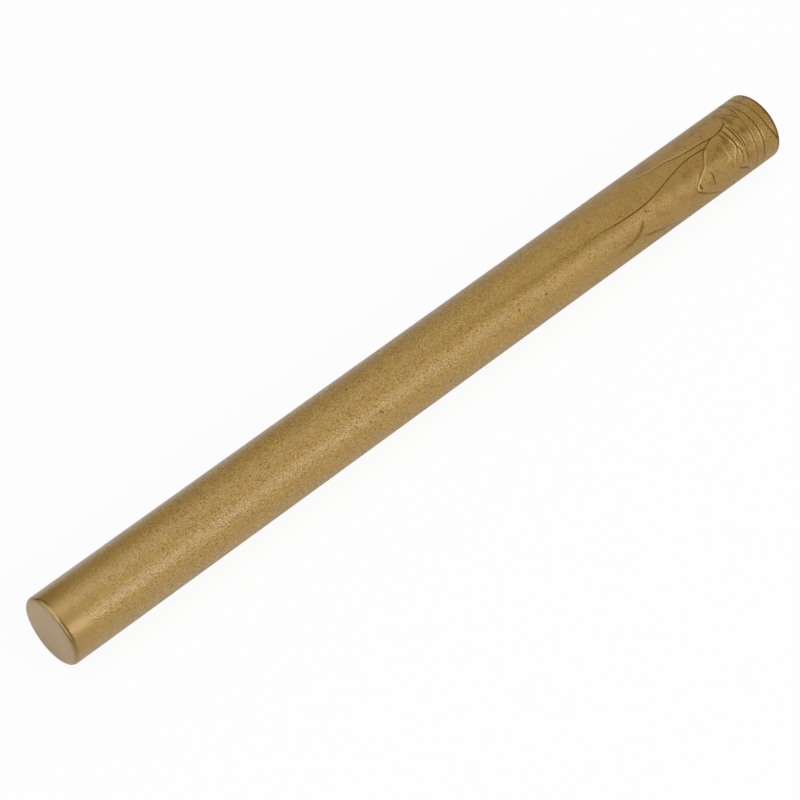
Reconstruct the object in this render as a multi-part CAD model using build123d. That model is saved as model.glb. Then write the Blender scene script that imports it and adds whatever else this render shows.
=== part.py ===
"""A wickless stick of sealing wax, cast in one shot.

The stick lies on its side along X, on the plane z = 0, with its middle over the origin.
Its plain end is at -X. Its lap end, at +X, filled first: there the wax folded over itself
as it set, and left shallow creases in the skin. Along its underside the soft wax has settled
into a narrow flat, on which the stick lies still.
"""
import os
from math import cos, radians, sin, tan

from build123d import *

# Driving sizes of the stick, in millimetres
STICK_DIAMETER = 11.0
STICK_LENGTH = 140.0
PLAIN_RIM_RADIUS = 0.65
LAP_RIM_RADIUS = 0.25
REST_FLAT_DEPTH = 0.08

# Creases left by the flow of the wax, in millimetres
CREASE_WIDTH = 0.25
CREASE_DEPTH = 0.2

# Share of the shorter run that the rounding of a fold's corner takes
BEND_SHARE = 0.45

# Ring creases round the lap end, in millimetres from that end
RING_CREASES = [1.7, 3.2, 4.7]

# Fold creases: points of (millimetres from the lap end, degrees from the top towards -Y)
MAIN_FOLD = [(37, 28), (33, 30.5), (28.7, 32.5), (25.2, 29), (20.5, 19), (16.6, 12.6), (13.8, 14.2)]
UPPER_FOLD = [(28, -28), (26, -16), (23.5, -8.5), (20.5, -6), (17, 0)]
UPPER_FOLD += [(14, 2.6), (11.5, 6), (9.4, 6.5), (7.4, 0)]
LOBE_FOLD = [(12.3, 13.5), (13.3, 17.5), (14.1, 26), (14.7, 36)]
LOBE_FOLD += [(15.8, 46), (17.3, 57), (17.7, 68), (14, 95)]
INNER_ARC = [(8.5, 12), (8.35, 25), (8.1, 42), (7.7, 57)]
OUTER_ARC = [(7.4, 8), (7.3, 24), (7.1, 42), (6.8, 58)]
FOLD_CREASES = [MAIN_FOLD, UPPER_FOLD, LOBE_FOLD, INNER_ARC, OUTER_ARC]

radius = STICK_DIAMETER / 2
lap_end = STICK_LENGTH / 2
axis_height = radius - REST_FLAT_DEPTH
axis_plane = Plane(origin=(0, 0, axis_height), x_dir=(0, 1, 0), z_dir=(1, 0, 0))


def plain_stick():
    """The moulded rod: a round bar with a rounded rim at each end."""
    bar = axis_plane * Cylinder(radius, STICK_LENGTH)
    rims = bar.edges().filter_by(GeomType.CIRCLE).sort_by(Axis.X)
    bar = fillet(rims[0], PLAIN_RIM_RADIUS)
    rims = bar.edges().filter_by(GeomType.CIRCLE).sort_by(Axis.X)
    return fillet(rims[-1], LAP_RIM_RADIUS)


def crease_skin():
    """The layer that creases are cut in: one crease deep in the wax, and as much outside it."""
    outside = Cylinder(radius + CREASE_DEPTH, STICK_LENGTH)
    core = Cylinder(radius - CREASE_DEPTH, STICK_LENGTH)
    return axis_plane * (outside - core)


def ring_slab(from_lap_end):
    """A thin disc square across the stick."""
    disc = Cylinder(STICK_DIAMETER, CREASE_WIDTH)
    return axis_plane.offset(lap_end - from_lap_end) * disc


def bend_radii(points):
    """Corner radii as large as the two runs at each corner allow."""
    runs = [Vector(b) - Vector(a) for a, b in zip(points, points[1:])]
    radii = []
    for before, after in zip(runs, runs[1:]):
        half_turn = radians(before.get_angle(after)) / 2
        radii.append(BEND_SHARE * min(before.length, after.length) / tan(half_turn))
    return radii


def fold_wall(points):
    """A wall that stands along a fold: its line, drawn on a plane through the axis, is raised outwards."""
    angles = [angle for _, angle in points]
    middle = (min(angles) + max(angles)) / 2
    outward = (0, -sin(radians(middle)), cos(radians(middle)))
    base = Plane(origin=axis_plane.origin, x_dir=(1, 0, 0), z_dir=outward)
    flat = [(lap_end - along, -radius * sin(radians(angle - middle))) for along, angle in points]
    line = FilletPolyline(*flat, radius=bend_radii(flat))
    band = make_face(offset(line, amount=CREASE_WIDTH / 2, side=Side.BOTH))
    return extrude(base * band, amount=STICK_DIAMETER)


def below_rest_flat():
    """What the resting flat takes off: the block under z = 0."""
    from_top = (Align.CENTER, Align.CENTER, Align.MAX)
    return Box(STICK_LENGTH, STICK_DIAMETER, REST_FLAT_DEPTH, align=from_top)


skin = crease_skin()
wax_stick = plain_stick()
for from_lap_end in RING_CREASES:
    wax_stick -= ring_slab(from_lap_end) & skin
for points in FOLD_CREASES:
    wax_stick -= fold_wall(points) & skin
wax_stick -= below_rest_flat()

os.makedirs("parts", exist_ok=True)
export_step(wax_stick, "parts/wax_stick.step")
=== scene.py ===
"""The looks of a stick of pearl-gold sealing wax that lies on its side on a pale desk.

The stick is one casting, along X, with its plain end at -X and its lap end at +X. On its skin a place is
given by two numbers: how far it is from the lap end, in millimetres, and its angle from the top towards
-Y, in degrees.
"""

import bpy
import numpy as np
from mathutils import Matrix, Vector


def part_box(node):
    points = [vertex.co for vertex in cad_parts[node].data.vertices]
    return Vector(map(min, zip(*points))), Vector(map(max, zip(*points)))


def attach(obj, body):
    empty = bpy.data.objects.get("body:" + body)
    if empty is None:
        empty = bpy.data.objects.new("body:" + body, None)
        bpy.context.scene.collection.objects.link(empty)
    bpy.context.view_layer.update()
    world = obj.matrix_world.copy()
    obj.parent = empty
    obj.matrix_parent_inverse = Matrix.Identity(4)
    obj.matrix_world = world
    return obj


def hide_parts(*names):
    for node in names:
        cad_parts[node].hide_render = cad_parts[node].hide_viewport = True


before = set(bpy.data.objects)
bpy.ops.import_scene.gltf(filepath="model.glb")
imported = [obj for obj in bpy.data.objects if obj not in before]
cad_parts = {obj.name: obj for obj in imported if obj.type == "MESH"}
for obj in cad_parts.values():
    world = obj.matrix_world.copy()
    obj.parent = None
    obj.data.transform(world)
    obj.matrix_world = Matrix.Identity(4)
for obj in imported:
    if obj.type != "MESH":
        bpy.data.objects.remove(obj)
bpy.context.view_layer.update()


# The wax stick: one solid bar of flexible sealing wax, of resin and wax with mica pearl, cast in a tube
# mould. The lap end filled first and chilled as it filled, so the wax folded over itself there and kept the
# folds. Nothing holds it: it lies on a narrow flat that it has settled into along its underside.
MM = 0.001
low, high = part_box("wax_stick")
STICK_LENGTH = (high.x - low.x) / MM
STICK_RADIUS = (high.y - low.y) / 2 / MM
AXIS_HEIGHT = high.z / MM - STICK_RADIUS
PLAIN_RIM_RADIUS = 0.65
LAP_RIM_RADIUS = 0.25

# Rows of points along the skin, closest where the folds and pits are: (from, to, step), from the lap end.
ROW_STRETCHES = [(0.25, 10, 0.08), (10, 18.4, 0.1), (18.4, 30, 0.2), (30, 38, 0.32), (38, 49.2, 0.8)]
ROW_STRETCHES += [(49.2, 50, 0.14), (50, 54.5, 0.8), (54.5, 55.3, 0.14), (55.3, 62, 0.8), (62, 82, 2.5)]
ROW_STRETCHES += [(82, 85.1, 0.14), (85.1, 101.6, 2.4), (101.6, 102.8, 0.14), (102.8, 139, 2.6)]
ROW_STRETCHES += [(139, 139.35, 0.1)]
# Columns of points round the skin, by angle from the top: (from, to, step).
COLUMN_STRETCHES = [(-62, -15, 1.9), (-15, 36, 0.7), (36, 62, 0.9), (62, 100, 1.3), (100, 126, 2.2)]
COLUMN_STRETCHES += [(126, 298, 4.3)]
RIM_STEPS = 14
# Rings of points on a flat face, as shares of its radius.
FACE_SHARES = [0.3, 0.6, 0.8, 0.9, 0.96, 1]


def even_steps(stretches):
    """Positions from the start of each stretch to just before its end, in even steps near its own step."""
    runs = [np.linspace(a, b, round((b - a) / step), endpoint=False) for a, b, step in stretches]
    return np.concatenate(runs)


def stick_profile():
    """The half outline that turns about the axis, from the lap face to the plain face.

    For each row it gives the distance from the lap end, the radius, how much of the outward normal is
    radial, and how far on over a face the row lies. A face is a run of radii, a rim a quarter circle, and
    the skin a straight line.
    """
    turn = np.linspace(0, np.pi / 2, RIM_STEPS, endpoint=False)
    share = np.array(FACE_SHARES)
    lap_face = (STICK_RADIUS - LAP_RIM_RADIUS) * share[:-1]
    plain_face = (STICK_RADIUS - PLAIN_RIM_RADIUS) * share[::-1]
    skin = even_steps(ROW_STRETCHES)
    along = [0 * lap_face, LAP_RIM_RADIUS * (1 - np.cos(turn)), skin]
    along += [STICK_LENGTH - PLAIN_RIM_RADIUS * (1 - np.sin(turn)), 0 * plain_face + STICK_LENGTH]
    radii = [lap_face, STICK_RADIUS - LAP_RIM_RADIUS * (1 - np.sin(turn)), 0 * skin + STICK_RADIUS]
    radii += [STICK_RADIUS - PLAIN_RIM_RADIUS * (1 - np.cos(turn)), plain_face]
    radial = [0 * lap_face, np.sin(turn), 0 * skin + 1, np.cos(turn), 0 * plain_face]
    over_face = [lap_face - radii[1][0], 0 * turn, 0 * skin, 0 * turn, plain_face[0] - plain_face]
    return [np.concatenate(rows) for rows in (along, radii, radial, over_face)]


row_along, row_radius, row_radial, row_over_face = stick_profile()
column_angle = even_steps(COLUMN_STRETCHES)
along, angle = np.meshgrid(row_along + row_over_face, column_angle, indexing="ij")
round_skin = STICK_RADIUS * np.radians(angle)
girth = 2 * np.pi * STICK_RADIUS

# The marks on the skin, read from the photograph. A mark is a line of places, and each place has a
# strength after its distance and its angle, so that a line swells and dies away as it runs.
LINE_STEP = 0.1
BELL_REACH = 3
# Relief in mm, carved and raised, and two shares for the colour: one paints shade into the creases, pits and
# rim lines and brown into the stains, the other paints highlights on the ridges.
carved = np.zeros_like(along)
raised = np.zeros_like(along)
shade_and_stains = np.zeros_like(along)
painted_highlight = np.zeros_like(along)


def smooth_line(places):
    """A curve through the places, unrolled in mm, with its strength.

    Between two places it is a cubic, whose slope at each is half the step from the place before to the next.
    """
    knots = np.array(places, float) * [1, np.radians(STICK_RADIUS), 1]
    knots = np.vstack([2 * knots[0] - knots[1], knots, 2 * knots[-1] - knots[-2]])
    before, start, end, after = (knots[i:len(knots) - 3 + i, None] for i in range(4))
    count = int(np.ceil(np.linalg.norm((end - start)[..., :2], axis=-1).max() / LINE_STEP))
    t = np.linspace(0, 1, count, endpoint=False)[None, :, None]
    bend = (2 * before - 5 * start + 4 * end - after) * t ** 2
    bend = bend + (3 * start - before - 3 * end + after) * t ** 3
    curve = (start + ((end - before) * t + bend) / 2).reshape(-1, 3)
    return np.vstack([curve, knots[-2]])


def bells(places, width):
    """The skin beside a line, as the points near it and a bell across it for each.

    The bell is the line's strength times e to the minus square of the distance over the width, and it ends a
    few widths out. The unrolled skin is looked at three times, a whole turn apart, because a line may run
    across the seam of the angles.
    """
    line = smooth_line(places)
    strength = np.maximum(line[:, 2], 0)
    line = line[:, :2]
    run = np.gradient(line, axis=0)
    run /= np.linalg.norm(run, axis=1, keepdims=True)
    lowest = line.min(0) - BELL_REACH * width
    highest = line.max(0) + BELL_REACH * width
    for turn in (-girth, 0, girth):
        around = round_skin + turn
        near = (along > lowest[0]) & (along < highest[0]) & (around > lowest[1]) & (around < highest[1])
        if not near.any():
            continue
        spot = np.stack([along[near], around[near]], 1)
        nearest = ((spot[:, :1] - line[:, 0]) ** 2 + (spot[:, 1:] - line[:, 1]) ** 2).argmin(1)
        off = spot - line[nearest]
        forward = np.clip((run[nearest] * off).sum(1), -LINE_STEP / 2, LINE_STEP / 2)
        apart = np.linalg.norm(off - forward[:, None] * run[nearest], axis=1)
        yield near, strength[nearest] * np.exp(-(apart / width) ** 2)


def add_crease(places, depth=0.11, width=0.092, shade=1.0):
    """Carves a groove along the line, its depth in mm times the bell, and paints shade into it by the same
    bell.
    """
    for near, bell in bells(places, width):
        carved[near] = np.minimum(carved[near], -depth * bell)
        shade_and_stains[near] = np.maximum(shade_and_stains[near], shade * bell)


def add_ridge(places, height=0.04, width=0.13, highlight=0.8):
    """Raises a ridge along the line, its height in mm times the bell, and paints a highlight on it by the
    same bell.
    """
    for near, bell in bells(places, width):
        raised[near] = np.maximum(raised[near], height * bell)
        painted_highlight[near] = np.maximum(painted_highlight[near], highlight * bell)


# The main fold, which runs in from the middle of the stick as a soft hollow and sharpens towards the lobe.
MAIN_HOLLOW = [(80, 22, 0), (64, 24, 0.5), (54, 26, 0.8), (46, 27, 1), (38, 28, 1), (33, 31, 0)]
MAIN_FOLD = [(42.5, 26.2, 0), (39.5, 26.8, 0.35), (36.5, 27.8, 0.75), (33, 30.8, 1), (30, 32.2, 1)]
MAIN_FOLD += [(28, 32, 1), (25.5, 29.5, 0.9), (22, 22, 0.9), (19, 16, 0.9), (16.5, 12.7, 1)]
MAIN_FOLD += [(14.2, 13.6, 1), (12.8, 15, 0.9)]
add_crease(MAIN_HOLLOW, depth=0.05, width=0.55, shade=0.2)
add_crease(MAIN_FOLD)

# The upper fold, where the wax above lapped over the wax below with a rounded lip.
UPPER_FOLD = [(29, -42, 0), (28, -33, 0.15), (26, -17, 0.3), (24, -11, 0.4), (22, -7, 0.5), (20, -6, 0.55)]
UPPER_FOLD += [(18, -2, 0.7), (16, 1.5, 0.8), (13, 3.5, 0.9), (11, 6.7, 1), (9.8, 7, 1), (8.6, 5, 1)]
UPPER_FOLD += [(7.7, 1.8, 0.9), (7.15, -1.5, 0.7), (6.97, -5, 0.5), (6.86, -11, 0.4), (6.8, -16, 0)]
UPPER_LIP = [(28, -31, 0), (26, -19, 0.7), (24, -13, 1), (22, -9, 1), (20, -8, 1), (18, -4.2, 1)]
UPPER_LIP += [(16, -0.8, 1), (13, 1.2, 0.9), (11.5, 3.8, 0.4), (10.3, 4.6, 0)]
add_crease(UPPER_FOLD)
add_ridge(UPPER_LIP, width=0.13, highlight=0.3)

# The lobe, a tongue of wax that ran back over the skin. It has a thick bright edge, and a pocket behind its
# tip.
LOBE_EDGE = [(11.1, 7.8, 1), (12, 11, 0.8), (12.75, 14.4, 0.8), (13.45, 18, 0.8), (14.1, 24, 0.8)]
LOBE_EDGE += [(14.6, 31, 0.6), (15.3, 38.5, 0.6), (16.4, 46.5, 0.5), (17.4, 55, 0.4), (17.95, 62, 0.4)]
LOBE_EDGE += [(17.9, 67.5, 0.8), (17.2, 73.5, 0.9), (16, 82, 0.8), (14.6, 91, 0.6), (12.5, 106, 0.3)]
LOBE_EDGE += [(11, 125, 0)]
LOBE_LIP = [(12.9, 17, 0), (13.4, 20.5, 0.6), (13.9, 27, 0.8), (14.4, 33.5, 0.8), (15.05, 41, 1)]
LOBE_LIP += [(16.2, 49, 1), (17.05, 56, 1.2), (17.6, 61.5, 1.5), (17.55, 66, 0.8), (17, 70, 0)]
LOBE_POCKET = [(17.15, 56, 0), (17.15, 60, 1), (17, 66, 1), (16.85, 71, 0)]
LOBE_CREASE = [(14.5, 47, 0), (14.35, 55, 0.7), (14.3, 62, 1), (14.35, 70, 0.7), (14.1, 82, 0)]
add_crease(LOBE_EDGE)
add_ridge(LOBE_LIP, height=0.05, width=0.13, highlight=0.6)
add_crease(LOBE_POCKET, depth=0.12, width=0.14)
add_crease(LOBE_CREASE, depth=0.06, width=0.14, shade=1.0)

# Arcs nested inside the lobe, where the wax crept on in small pushes: creases with bright ridges between.
ARC_CREASES = [
    [(9.5, 8, 0.4), (9.3, 12, 0.9), (9.1, 20, 0.9), (8.9, 27, 0.5), (8.75, 32, 0)],
    [(8.55, 5, 0.4), (8.45, 12, 0.8), (8.3, 22, 0.95), (8.18, 32, 1.1), (8.1, 42, 1), (8, 52, 0)],
    [(7.95, 41, 0.3), (7.8, 47, 0.9), (7.65, 55, 0.9), (7.55, 62, 0)],
    [(7.45, 3, 0.3), (7.38, 10, 0.9), (7.28, 25, 1.1), (7.15, 38, 1), (7, 50, 0)],
    [(6.85, 12, 0.2), (6.8, 20, 0.8), (6.75, 32, 1), (6.7, 44, 1), (6.77, 52, 0.6), (6.82, 66, 0.8),
     (6.95, 79, 0)],
    [(7.65, 57, 0.3), (7.76, 64, 0.5), (7.9, 71, 0.4), (8, 78, 0)],
    [(6.4, 16, 0), (6.35, 24, 0.5), (6.3, 34, 0.5), (6.25, 40, 0)],
]
ARC_RIDGES = [
    [(8.95, 18, 0), (8.75, 25, 0.4), (8.57, 31, 1), (8.38, 38, 1), (8.55, 43, 0.9), (8.9, 49, 0.75)],
    [(7.95, 33, 0), (7.8, 40, 1), (7.5, 50, 0.8), (7.4, 56, 0)],
    [(8.1, 38, 0), (7.98, 44, 0.8), (7.98, 51, 0.9), (8.05, 59, 0)],
    [(7.1, 15, 0), (7.03, 24, 0.35), (6.92, 40, 0.6), (6.85, 48, 0)],
    [(6.58, 25, 0), (6.55, 33, 0.5), (6.53, 40, 0.7), (6.5, 50, 0)],
    [(10, 26, 0), (10.2, 34, 0.5), (10.27, 43, 0.65), (10.1, 53, 0.45), (9.9, 60, 0)],
    [(8.9, 49, 0.75), (9.2, 54, 0.6), (9.5, 60, 0.55), (9.8, 67, 0.4), (10.05, 75, 0)],
    [(8.05, 52, 0), (8.22, 60, 0.4), (8.42, 68, 0.4), (8.6, 76, 0)],
    [(7.48, 54, 0), (7.4, 63, 0.35), (7.43, 72, 0.35), (7.5, 80, 0)],
]
LOW_FOLD = [(9.3, 74, 0), (8.5, 80, 0.8), (7.6, 85.5, 0.8), (6.8, 94, 0.5), (6.4, 108, 0)]
for places in ARC_CREASES:
    add_crease(places, width=0.1)
for places in ARC_RIDGES:
    add_ridge(places, height=0.05, width=0.09, highlight=1.0)
ARC_BAND = [(8.0, 2, 0), (7.92, 9, 0.9), (7.82, 18, 1), (7.72, 28, 0.6), (7.65, 34, 0)]
add_ridge(ARC_BAND, height=0.02, width=0.25, highlight=0.3)
add_crease(LOW_FOLD, depth=0.06, width=0.15, shade=1.0)

# Rings round the lap end, where the wax chilled against the mould's foot. The first runs off over the rim.
RING_1 = [(1.8, -200, 0.6), (1.9, -120, 0.6), (1.95, -25, 0.5), (1.85, -5, 0.6), (1.75, 10, 0.8)]
RING_1 += [(1.6, 30, 0.9), (1.45, 42, 1), (1.2, 53, 1), (0.85, 64, 1.1), (0.5, 70, 1.1), (0.2, 76, 1)]
RING_2 = [(3.4, -180, 0.6), (3.6, -100, 0.6), (3.5, -25, 0.5), (3.35, 0, 0.7), (3.22, 15, 1), (3.2, 35, 1)]
RING_2 += [(3.2, 50, 1.1), (3.3, 65, 1), (3.45, 78, 0.8), (3.5, 95, 0.6), (3.6, 120, 0.4), (3.4, 180, 0.6)]
RING_3 = [(4.6, -180, 0.4), (4.1, -90, 0.4), (4.05, -26, 0.5), (4.2, -12, 0.7), (4.28, -4, 0.7)]
RING_3 += [(4.45, 6, 0.55), (4.58, 16, 0.5), (4.72, 40, 0.6), (4.85, 60, 0.65), (4.95, 72, 0.6)]
RING_3 += [(5.1, 100, 0.3), (4.6, 180, 0.4)]
RING_LIPS = [
    [(3.5, 28, 0), (3.48, 42, 0.8), (3.5, 55, 1), (3.6, 66, 0.5), (3.7, 76, 0)],
    [(4.35, 18, 0), (4.42, 26, 0.2), (4.48, 36, 0.45), (4.55, 50, 0.7), (4.6, 62, 0)],
    [(5.05, 30, 0), (5.1, 42, 0.8), (5.15, 55, 0.7), (5.2, 64, 0)],
    [(2.95, 38, 0), (2.9, 50, 0.6), (3, 62, 0)],
]
SIDE_ARCH = [(5.9, -24, 0), (5.72, -17, 0.8), (5.5, -12, 0.8), (5.2, -8, 0.8), (4.95, -3, 1), (4.78, 3, 1)]
SIDE_ARCH += [(4.6, 7, 0.8), (4.5, 11, 0)]
add_crease(RING_1)
add_crease(RING_2)
add_crease(RING_3)
for places in RING_LIPS:
    add_ridge(places, height=0.03, width=0.16, highlight=0.5)
add_crease(SIDE_ARCH, depth=0.03, width=0.15, shade=0.65)

# A curl and two fainter laps further along, on the side.
CURL = [(29, 48, 0), (29.3, 55.5, 0.9), (30.1, 63.6, 1), (31.2, 69.6, 0.9), (32.5, 73.5, 0.8)]
CURL += [(33.6, 74.3, 0.6), (34.8, 74.6, 0.4), (36.2, 73.6, 0.2), (37.5, 72, 0)]
LOW_LINE = [(30.2, 72, 0), (29.5, 75, 0.6), (28.5, 79, 0.9), (27, 83.5, 0.9), (25.5, 88.5, 0.7)]
LOW_LINE += [(24, 92, 0.5), (22.5, 100, 0.3), (21.5, 112, 0)]
TONGUE = [(50, 40, 0), (53, 42, 0.8), (55.5, 45, 1), (58, 51, 1), (59.2, 59, 1), (58.4, 67, 1), (57, 73, 1)]
TONGUE += [(54.5, 78.5, 0.7), (51, 80.5, 0)]
add_crease(CURL, depth=0.08, width=0.33, shade=0.6)
add_crease(LOW_LINE, depth=0.06, width=0.2, shade=0.6)
add_crease(TONGUE, depth=0.025, width=0.3, shade=0.1)

# The rounded rim of the plain end: a crescent and a bead with painted highlights, dark lines of painted
# shade beside them, and a lower stretch darkened with painted shade.
RIM_GROOVE = [(139.75, -50, 0), (139.7, -42, 0.6), (139.68, -35, 0.8), (139.52, -26, 1), (139.36, -15, 0.9)]
RIM_GROOVE += [(139.33, -5, 0.4), (139.3, 5, 0.05), (139.4, 14, 0.3), (139.52, 21, 0.5), (139.6, 28, 0.75)]
RIM_GROOVE += [(139.6, 36, 0.9), (139.58, 45, 0.85), (139.5, 55, 0.9), (139.5, 65, 0.6), (139.5, 78, 0)]
RIM_EDGE = [(139.97, 8, 0), (139.98, 15, 0.5), (139.99, 25, 0.45), (139.97, 35, 0.45), (139.93, 45, 0.7)]
RIM_EDGE += [(139.88, 55, 0.9), (139.86, 62, 0.6), (139.86, 72, 0)]
RIM_CRESCENT = [(139.66, -24, 0), (139.68, -16, 0.6), (139.75, -6, 0.85), (139.77, 4, 1), (139.79, 14, 0.8)]
RIM_CRESCENT += [(139.87, 23, 0.5), (139.9, 31, 0)]
RIM_BEAD = [(139.8, 28, 0), (139.77, 36, 0.45), (139.76, 45, 1), (139.66, 54, 0.45), (139.62, 62, 0)]
RIM_SHADE = [(139.6, 50, 0), (139.64, 60, 0.9), (139.64, 68, 1), (139.62, 78, 0.8), (139.68, 90, 0.5)]
RIM_SHADE += [(139.7, 125, 0)]
add_crease(RIM_GROOVE, depth=0.02, width=0.13, shade=0.75)
add_crease(RIM_EDGE, depth=0.02, width=0.08, shade=0.7)
add_crease(RIM_SHADE, depth=0.0, width=0.3, shade=0.42)
add_ridge(RIM_CRESCENT, height=0.01, width=0.16, highlight=1.0)
add_ridge(RIM_BEAD, height=0.01, width=0.07, highlight=0.9)

# Soft brown stains where the mica ran thin, and painted shade: (from the lap end, angle, half length, half
# width, strength). The narrow one along the lap rim is painted shade where the rim turns from the light;
# the faint wide ones over the lap end, next to the plain rim and on the edge of the plain face only darken
# the colour there.
STAINS_AND_SHADE = [(6.35, -8, 0.35, 1.0, 0.58), (6.2, 3, 0.45, 0.8, 0.5), (6.6, -22, 0.5, 0.7, 0.34)]
STAINS_AND_SHADE += [(5.7, 27, 0.6, 0.6, 0.5), (4.93, 70, 0.12, 0.2, 0.6), (12, -22, 1.0, 0.4, 0.32)]
STAINS_AND_SHADE += [(9.4, -25, 0.7, 0.35, 0.36), (11.2, 29, 0.9, 0.7, 0.42), (9.6, 26, 0.4, 0.5, 0.36)]
STAINS_AND_SHADE += [(18.5, 36, 1.6, 0.7, 0.26), (22, 32, 2.5, 0.5, 0.17), (0.5, 70, 0.3, 0.6, 0.5)]
STAINS_AND_SHADE += [(0.17, 30, 0.3, 9, 0.95), (2.5, 46, 6.5, 3.2, 0.1), (138.6, -20, 1.5, 1.2, 0.1)]
STAINS_AND_SHADE += [(12.5, 35, 3.6, 0.8, 0.26), (6.6, 68, 0.8, 0.9, 0.26), (34.5, 32, 3.0, 0.5, 0.15)]
STAINS_AND_SHADE += [(140.15, 40, 0.6, 9, 0.13)]
for stain_along, stain_angle, half_length, half_width, strength in STAINS_AND_SHADE:
    apart = (along - stain_along) ** 2 / half_length ** 2
    apart = apart + (round_skin - STICK_RADIUS * np.radians(stain_angle)) ** 2 / half_width ** 2
    shade_and_stains = np.maximum(shade_and_stains, strength * np.exp(-apart))

# Pits from air bubbles in the skin: (from the lap end, angle, how wide, how deep), the last two in mm.
PITS = [(27.8, 41.5, 0.3, 0.1), (27.4, 43.5, 0.24, 0.08), (54.9, 50.5, 0.34, 0.08), (49.6, 55, 0.34, 0.08)]
PITS += [(82.6, 53, 0.36, 0.1), (82.3, 55.5, 0.3, 0.09), (84.5, -8, 0.34, 0.1), (84.7, 57, 0.3, 0.08)]
PITS += [(102.4, 11, 0.28, 0.08), (101.9, 22, 0.26, 0.07)]
# Each pit is also darkened with painted shade.
PIT_SHADE = 0.9
for pit_along, pit_angle, width, depth in PITS:
    apart = (along - pit_along) ** 2 + (round_skin - STICK_RADIUS * np.radians(pit_angle)) ** 2
    dent = np.exp(-apart / (width / 2) ** 2)
    carved = np.minimum(carved, -depth * dent)
    shade_and_stains = np.maximum(shade_and_stains, PIT_SHADE * dent)


def stick_mesh():
    """The skin as a closed mesh: each profile row, with its creases and ridges, turned about the axis.

    A point lies at its radius along the direction of its angle, and no lower than the desk. The rows are
    joined by four-sided faces, and each end closes on one point at the middle of its face.
    """
    radius = row_radius[:, None] + (carved + raised) * row_radial[:, None]
    turned = np.radians(angle)
    x = STICK_LENGTH / 2 - np.broadcast_to(row_along[:, None], angle.shape)
    y = -radius * np.sin(turned)
    z = np.maximum(AXIS_HEIGHT + radius * np.cos(turned), 0)
    middles = [[STICK_LENGTH / 2, 0, AXIS_HEIGHT], [-STICK_LENGTH / 2, 0, AXIS_HEIGHT]]
    points = np.vstack([np.stack([x, y, z], -1).reshape(-1, 3), middles]) * MM
    rows, columns = angle.shape
    index = np.arange(rows * columns).reshape(rows, columns)
    beside = np.roll(index, -1, axis=1)
    quads = np.stack([index[:-1], index[1:], beside[1:], beside[:-1]], -1).reshape(-1, 4)
    lap_fan = np.stack([0 * index[0] + rows * columns, index[0], beside[0]], -1)
    plain_fan = np.stack([0 * index[-1] + rows * columns + 1, beside[-1], index[-1]], -1)
    mesh = bpy.data.meshes.new("wax_stick_skin")
    mesh.from_pydata(points.tolist(), [], quads.tolist() + lap_fan.tolist() + plain_fan.tolist())
    mesh.polygons.foreach_set("use_smooth", np.ones(len(mesh.polygons), bool))
    # Shares for the colour: painted shade with the brown stains, and painted highlights.
    for name, shade in (("shade_and_stains", shade_and_stains), ("painted_highlight", painted_highlight)):
        attribute = mesh.attributes.new(name, "FLOAT", "POINT")
        attribute.data.foreach_set("value", np.append(shade.ravel(), [0, 0]).clip(0, 1).astype(np.float32))
    mesh.update()
    return mesh


def linear(hex_colour):
    """The linear colour of an sRGB hex value: the inverse of the sRGB curve in each channel."""
    srgb = np.array([int(hex_colour[i:i + 2], 16) for i in (1, 3, 5)]) / 255
    light = np.where(srgb <= 0.04045, srgb / 12.92, ((srgb + 0.055) / 1.055) ** 2.4)
    return (*light.tolist(), 1.0)


def add_node(tree, kind, inputs=None, **settings):
    """Adds a node with its settings, and gives each input a value, or a link where it is given a socket."""
    node = tree.nodes.new(kind)
    for name, value in settings.items():
        setattr(node, name, value)
    for name, value in (inputs or {}).items():
        if isinstance(value, bpy.types.NodeSocket):
            tree.links.new(value, node.inputs[name])
        else:
            node.inputs[name].default_value = value
    return node


# Sockets of a colour Mix node, by number, because its other kinds use the same names.
MIX_SHARE = 0
MIX_FROM = 6
MIX_TO = 7
MIX_RESULT = 2


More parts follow.
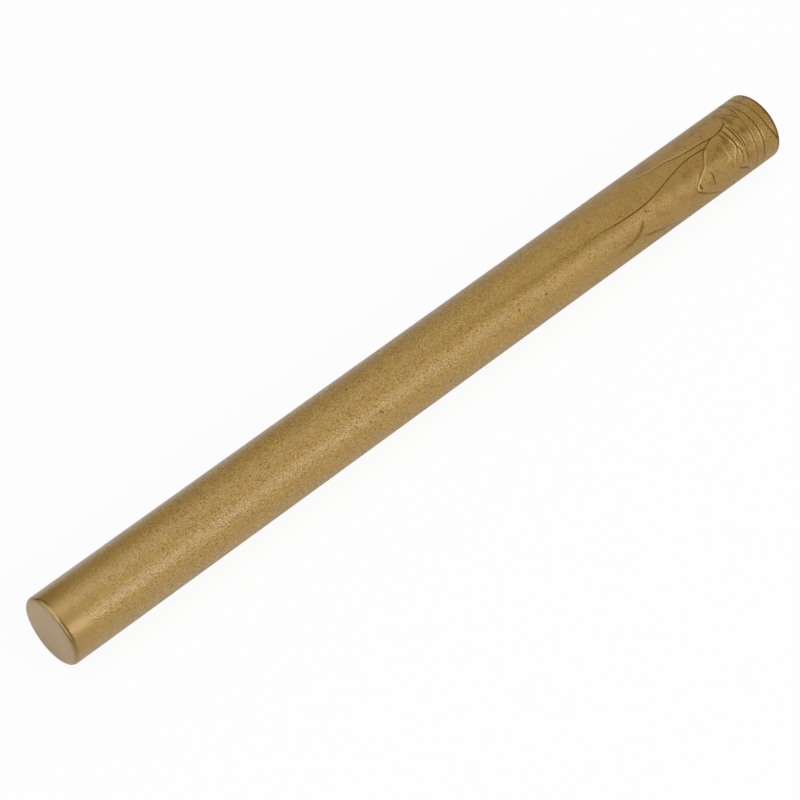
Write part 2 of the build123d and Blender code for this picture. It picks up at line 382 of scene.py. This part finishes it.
def pearl_gold_wax():
    """Cast resin wax, full of fine mica: a satin body with a metal-like glow, under a thin clear skin.

    The mica gives a broad warm glow and a fine sparkle, and the mould a fine grain with dark specks. The
    clear skin gives a faint white veil, and thins out towards the lap end, where the wax chilled and stayed
    browner. Next to the plain end the mould was smooth, and the grain fades out.
    """
    gold = linear("#B28E48")
    # The plain face's paler tint is partly its own colour and partly painted reflection of the white
    # surroundings.
    face_gold_and_reflection = linear("#B19258")
    chilled_gold = linear("#AB8846")
    mottled_brown = linear("#94692A")
    shade_and_stain_brown = linear("#4C2C05")
    highlight_gold = linear("#E0C184")
    # Each pattern's width in mm, its detail and how strong the detail is. Flakes of mica are under 0.06 mm
    # wide, too fine to show, so the grain and the flakes are drawn coarser.
    patterns = {
        "grain": (0.15, 2.0, 0.6),
        "specks": (0.36, 0.0, 0.5),
        "flakes": (0.22, 1.0, 0.6),
        "mottle": (1.9, 3.0, 0.6),
        "ripple": (5.0, 2.0, 0.5),
    }
    # Heights of the relief, in mm.
    grain_height = 0.1
    flake_height = 0.07
    ripple_height = 0.04
    material = bpy.data.materials.new("pearl_gold_wax")
    material.use_nodes = True
    tree = material.node_tree
    tree.nodes.clear()
    place = add_node(tree, "ShaderNodeTexCoord").outputs["Object"]
    x = add_node(tree, "ShaderNodeSeparateXYZ", {"Vector": place}).outputs["X"]
    shade_and_stains_here = add_node(tree, "ShaderNodeAttribute", attribute_name="shade_and_stains").outputs["Fac"]
    painted_highlight_here = add_node(tree, "ShaderNodeAttribute", attribute_name="painted_highlight").outputs["Fac"]
    noise = {}
    for name, (width, detail, strength) in patterns.items():
        inputs = {"Vector": place, "Scale": 1 / (width * MM), "Detail": detail, "Roughness": strength}
        noise[name] = add_node(tree, "ShaderNodeTexNoise", inputs).outputs["Fac"]

    # Changes along the stick, by x in metres: the chilled lap end, the smooth stretch and the face of the
    # plain end, and how much of the flakes and of the grain shows.
    chill = add_node(
        tree, "ShaderNodeMapRange", {"Value": x, "From Min": 0.01, "From Max": 0.06},
        interpolation_type="SMOOTHSTEP").outputs["Result"]
    off_rim = add_node(
        tree, "ShaderNodeMapRange", {"Value": x, "From Min": -0.0694, "From Max": -0.0635},
        interpolation_type="SMOOTHSTEP").outputs["Result"]
    off_face = add_node(tree, "ShaderNodeMapRange", {
        "Value": x, "From Min": -0.06999, "From Max": -0.0699}).outputs["Result"]
    flake_share = add_node(tree, "ShaderNodeMapRange", {
        "Value": x, "From Min": -0.0697, "From Max": -0.045, "To Min": 0.6, "To Max": 1.0}).outputs["Result"]
    lap_share = add_node(tree, "ShaderNodeMapRange", {
        "Value": x, "From Min": -0.02, "From Max": 0.05, "To Min": 1.0, "To Max": 0.58}).outputs["Result"]
    grain_share = off_rim
    for share in (flake_share, lap_share):
        grain_share = add_node(
            tree, "ShaderNodeMath", {0: grain_share, 1: share}, operation="MULTIPLY").outputs["Value"]

    # Colour: gold, browner in blotches where it chilled, with lighter and darker grains and dark specks.
    # Then come the paler plain face, painted highlights on the ridges, painted shade and the brown stains.
    browner = add_node(tree, "ShaderNodeMapRange", {
        "Value": noise["mottle"], "From Min": 0.5, "From Max": 0.7, "To Max": 0.6}).outputs["Result"]
    browner = add_node(tree, "ShaderNodeMath", {0: browner, 1: chill}, operation="MULTIPLY").outputs["Value"]
    speck_tone = add_node(tree, "ShaderNodeMapRange", {
        "Value": chill, "To Min": 0.66, "To Max": 0.85}).outputs["Result"]
    speckle = add_node(tree, "ShaderNodeMapRange", {
        "Value": noise["specks"], "From Min": 0.68, "From Max": 0.76,
        "To Min": 1.0, "To Max": speck_tone}).outputs["Result"]
    tone = add_node(tree, "ShaderNodeMapRange", {
        "Value": noise["grain"], "From Min": 0.37, "From Max": 0.63,
        "To Min": 0.52, "To Max": 1.48}).outputs["Result"]
    tone = add_node(tree, "ShaderNodeMath", {0: tone, 1: speckle}, operation="MULTIPLY").outputs["Value"]
    tone = add_node(tree, "ShaderNodeMapRange", {
        "Value": grain_share, "To Min": 0.88, "To Max": tone}).outputs["Result"]
    body = gold
    for share, colour in ((chill, chilled_gold), (browner, mottled_brown)):
        body = add_node(tree, "ShaderNodeMix", {
            MIX_SHARE: share, MIX_FROM: body, MIX_TO: colour}, data_type="RGBA").outputs[MIX_RESULT]
    body = add_node(tree, "ShaderNodeVectorMath", {
        "Vector": body, "Scale": tone}, operation="SCALE").outputs["Vector"]
    body = add_node(tree, "ShaderNodeMix", {
        MIX_SHARE: off_face, MIX_FROM: face_gold_and_reflection, MIX_TO: body}, data_type="RGBA").outputs[MIX_RESULT]
    # Painted highlights on the ridges, then painted shade in the creases, pits and rim lines, with the brown
    # of the stains.
    for share, colour in ((painted_highlight_here, highlight_gold), (shade_and_stains_here, shade_and_stain_brown)):
        body = add_node(tree, "ShaderNodeMix", {
            MIX_SHARE: share, MIX_FROM: body, MIX_TO: colour}, data_type="RGBA").outputs[MIX_RESULT]

    # Gloss: satin, with brighter grains glossier than dark ones, under a clear skin that creases break.
    roughness = add_node(tree, "ShaderNodeMapRange", {
        "Value": noise["mottle"], "From Min": 0.3, "From Max": 0.7,
        "To Min": 0.34, "To Max": 0.42}).outputs["Result"]
    grain_gloss = add_node(tree, "ShaderNodeMapRange", {
        "Value": noise["grain"], "From Min": 0.37, "From Max": 0.63,
        "To Min": 0.12, "To Max": -0.12}).outputs["Result"]
    grain_gloss = add_node(
        tree, "ShaderNodeMath", {0: grain_gloss, 1: off_rim}, operation="MULTIPLY").outputs["Value"]
    roughness = add_node(
        tree, "ShaderNodeMath", {0: roughness, 1: grain_gloss}, operation="ADD").outputs["Value"]
    clear_skin = add_node(tree, "ShaderNodeMapRange", {
        "Value": x, "From Min": -0.06, "From Max": 0.06, "To Min": 0.95, "To Max": 0.38}).outputs["Result"]
    open_skin = add_node(
        tree, "ShaderNodeMath", {0: 1.0, 1: shade_and_stains_here}, operation="SUBTRACT").outputs["Value"]
    clear_skin = add_node(
        tree, "ShaderNodeMath", {0: clear_skin, 1: open_skin}, operation="MULTIPLY").outputs["Value"]

    # Relief: long ripples, then flakes under the clear skin, then grain with a pit at each dark speck.
    pits = add_node(tree, "ShaderNodeMapRange", {
        "Value": noise["specks"], "From Min": 0.62, "From Max": 0.76,
        "To Min": 0.0, "To Max": 0.5}).outputs["Result"]
    grain_lift = add_node(
        tree, "ShaderNodeMath", {0: noise["grain"], 1: pits}, operation="SUBTRACT").outputs["Value"]
    grain_lift = add_node(
        tree, "ShaderNodeMath", {0: grain_lift, 1: grain_share}, operation="MULTIPLY").outputs["Value"]
    flake_lift = add_node(
        tree, "ShaderNodeMath", {0: noise["flakes"], 1: flake_share}, operation="MULTIPLY").outputs["Value"]
    rippled = add_node(tree, "ShaderNodeBump", {
        "Height": noise["ripple"], "Strength": 1.0, "Distance": ripple_height * MM}).outputs["Normal"]
    flaked = add_node(tree, "ShaderNodeBump", {
        "Height": flake_lift, "Strength": 1.0, "Distance": flake_height * MM,
        "Normal": rippled}).outputs["Normal"]
    grained = add_node(tree, "ShaderNodeBump", {
        "Height": grain_lift, "Strength": 1.0, "Distance": grain_height * MM,
        "Normal": flaked}).outputs["Normal"]
    wax = add_node(tree, "ShaderNodeBsdfPrincipled", {
        "Base Color": body, "Metallic": 0.33, "Roughness": roughness, "Specular IOR Level": 0.05,
        "Normal": grained, "Coat Weight": clear_skin, "Coat Roughness": 0.2, "Coat IOR": 1.5,
        "Coat Normal": flaked})
    add_node(tree, "ShaderNodeOutputMaterial", {"Surface": wax.outputs["BSDF"]})
    return material


wax_stick = bpy.data.objects.new("sealing_wax_stick", stick_mesh())
bpy.context.scene.collection.objects.link(wax_stick)
wax_stick.data.materials.append(pearl_gold_wax())
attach(wax_stick, "root")
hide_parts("wax_stick")


# The desk: a plain white board under the stick, only there to carry it and to take its shadow.
# It shows white to the camera and in the gloss of the wax, with a faint part of its own shade.
DESK_WIDTH = 6000
SHADE_SHARE = 0.07
GLOSS_SHADE_SHARE = 0.9


def white_board():
    """White card: matt to the light that it scatters, and white to the eye, less a share of its shade."""
    material = bpy.data.materials.new("white_card")
    material.use_nodes = True
    tree = material.node_tree
    tree.nodes.clear()
    path = add_node(tree, "ShaderNodeLightPath").outputs
    seen = add_node(tree, "ShaderNodeMath", {
        0: path["Is Camera Ray"], 1: path["Is Glossy Ray"]}, operation="MAXIMUM").outputs[0]
    seen = add_node(tree, "ShaderNodeMath", {
        0: seen, 1: path["Is Transmission Ray"]}, operation="MAXIMUM").outputs[0]
    card = add_node(tree, "ShaderNodeBsdfDiffuse", {"Color": linear("#F4F4F4")}).outputs[0]
    white = add_node(tree, "ShaderNodeEmission", {"Strength": 1.0}).outputs[0]
    share = add_node(tree, "ShaderNodeMapRange", {
        "Value": path["Is Camera Ray"], "To Min": GLOSS_SHADE_SHARE,
        "To Max": SHADE_SHARE}).outputs["Result"]
    shown = add_node(tree, "ShaderNodeMixShader", {0: share, 1: white, 2: card}).outputs[0]
    both = add_node(tree, "ShaderNodeMixShader", {0: seen, 1: card, 2: shown}).outputs[0]
    add_node(tree, "ShaderNodeOutputMaterial", {"Surface": both})
    return material


edge = DESK_WIDTH / 2
desk_mesh = bpy.data.meshes.new("desk_board")
corners = np.array([[-edge, -edge, 0], [edge, -edge, 0], [edge, edge, 0], [-edge, edge, 0]]) * MM
desk_mesh.from_pydata(corners.tolist(), [], [[0, 1, 2, 3]])
desk = bpy.data.objects.new("desk", desk_mesh)
desk_mesh.materials.append(white_board())
bpy.context.scene.collection.objects.link(desk)


# Studio light: large soft boxes and a dim even room. The key stands in front, a second box hangs overhead.
# Each box is given the way to it from the stick, its distance and size in mm, and its brightness, where
# white is 1.
SOFT_BOXES = {
    "key": ((0.44, -0.78, 0.43), 600, (300, 220), 3.75),
    "front": ((0.15, -0.85, 0.50), 600, (420, 260), 1.74),
    "low_front": ((0.30, -0.90, 0.20), 600, (400, 200), 0.5),
    "near_front": ((0.26, -0.50, 0.82), 280, (120, 90), 1.2),
    "overhead": ((0.05, 0.15, 0.98), 700, (700, 500), 1.82),
    "top_left": ((-0.50, 0.0, 0.87), 700, (500, 400), 0.79),
    "left": ((-0.85, -0.20, 0.48), 700, (400, 400), 2.75),
    "back_right": ((0.75, 0.60, 0.35), 260, (200, 150), 0.82),
}
ROOM_LIGHT = 0.1
for name, (way, distance, (width, height), brightness) in SOFT_BOXES.items():
    lamp = bpy.data.lights.new(name, "AREA")
    lamp.shape = "RECTANGLE"
    lamp.size = width * MM
    lamp.size_y = height * MM
    lamp.energy = brightness * np.pi * lamp.size * lamp.size_y
    box = bpy.data.objects.new(name, lamp)
    box.location = Vector(way).normalized() * distance * MM
    box.rotation_euler = Vector(way).to_track_quat("Z", "Y").to_euler()
    bpy.context.scene.collection.objects.link(box)
room = bpy.data.worlds.new("room")
room.use_nodes = True
room.node_tree.nodes["Background"].inputs["Strength"].default_value = ROOM_LIGHT
room.node_tree.nodes["Background"].inputs["Color"].default_value = linear("#FFFFFF")
bpy.context.scene.world = room


# The camera: a long lens that looks down on the stick from beyond its plain end.
CAMERA_AIM = (-5.29, -0.60, 2.08)
CAMERA_DISTANCE = 490.2
CAMERA_AZIMUTH = -43.31
CAMERA_ELEVATION = 50.21
LENS = 152.39
SENSOR_WIDTH = 36
lens = bpy.data.cameras.new("camera")
lens.lens = LENS
lens.sensor_width = SENSOR_WIDTH
camera = bpy.data.objects.new("camera", lens)
camera.rotation_euler = np.radians([90 - CAMERA_ELEVATION, 0, CAMERA_AZIMUTH])
back = camera.rotation_euler.to_matrix() @ Vector((0, 0, 1))
camera.location = (Vector(CAMERA_AIM) + CAMERA_DISTANCE * back) * MM
bpy.context.scene.collection.objects.link(camera)
bpy.context.scene.camera = camera
bpy.context.scene.view_settings.view_transform = "Standard"
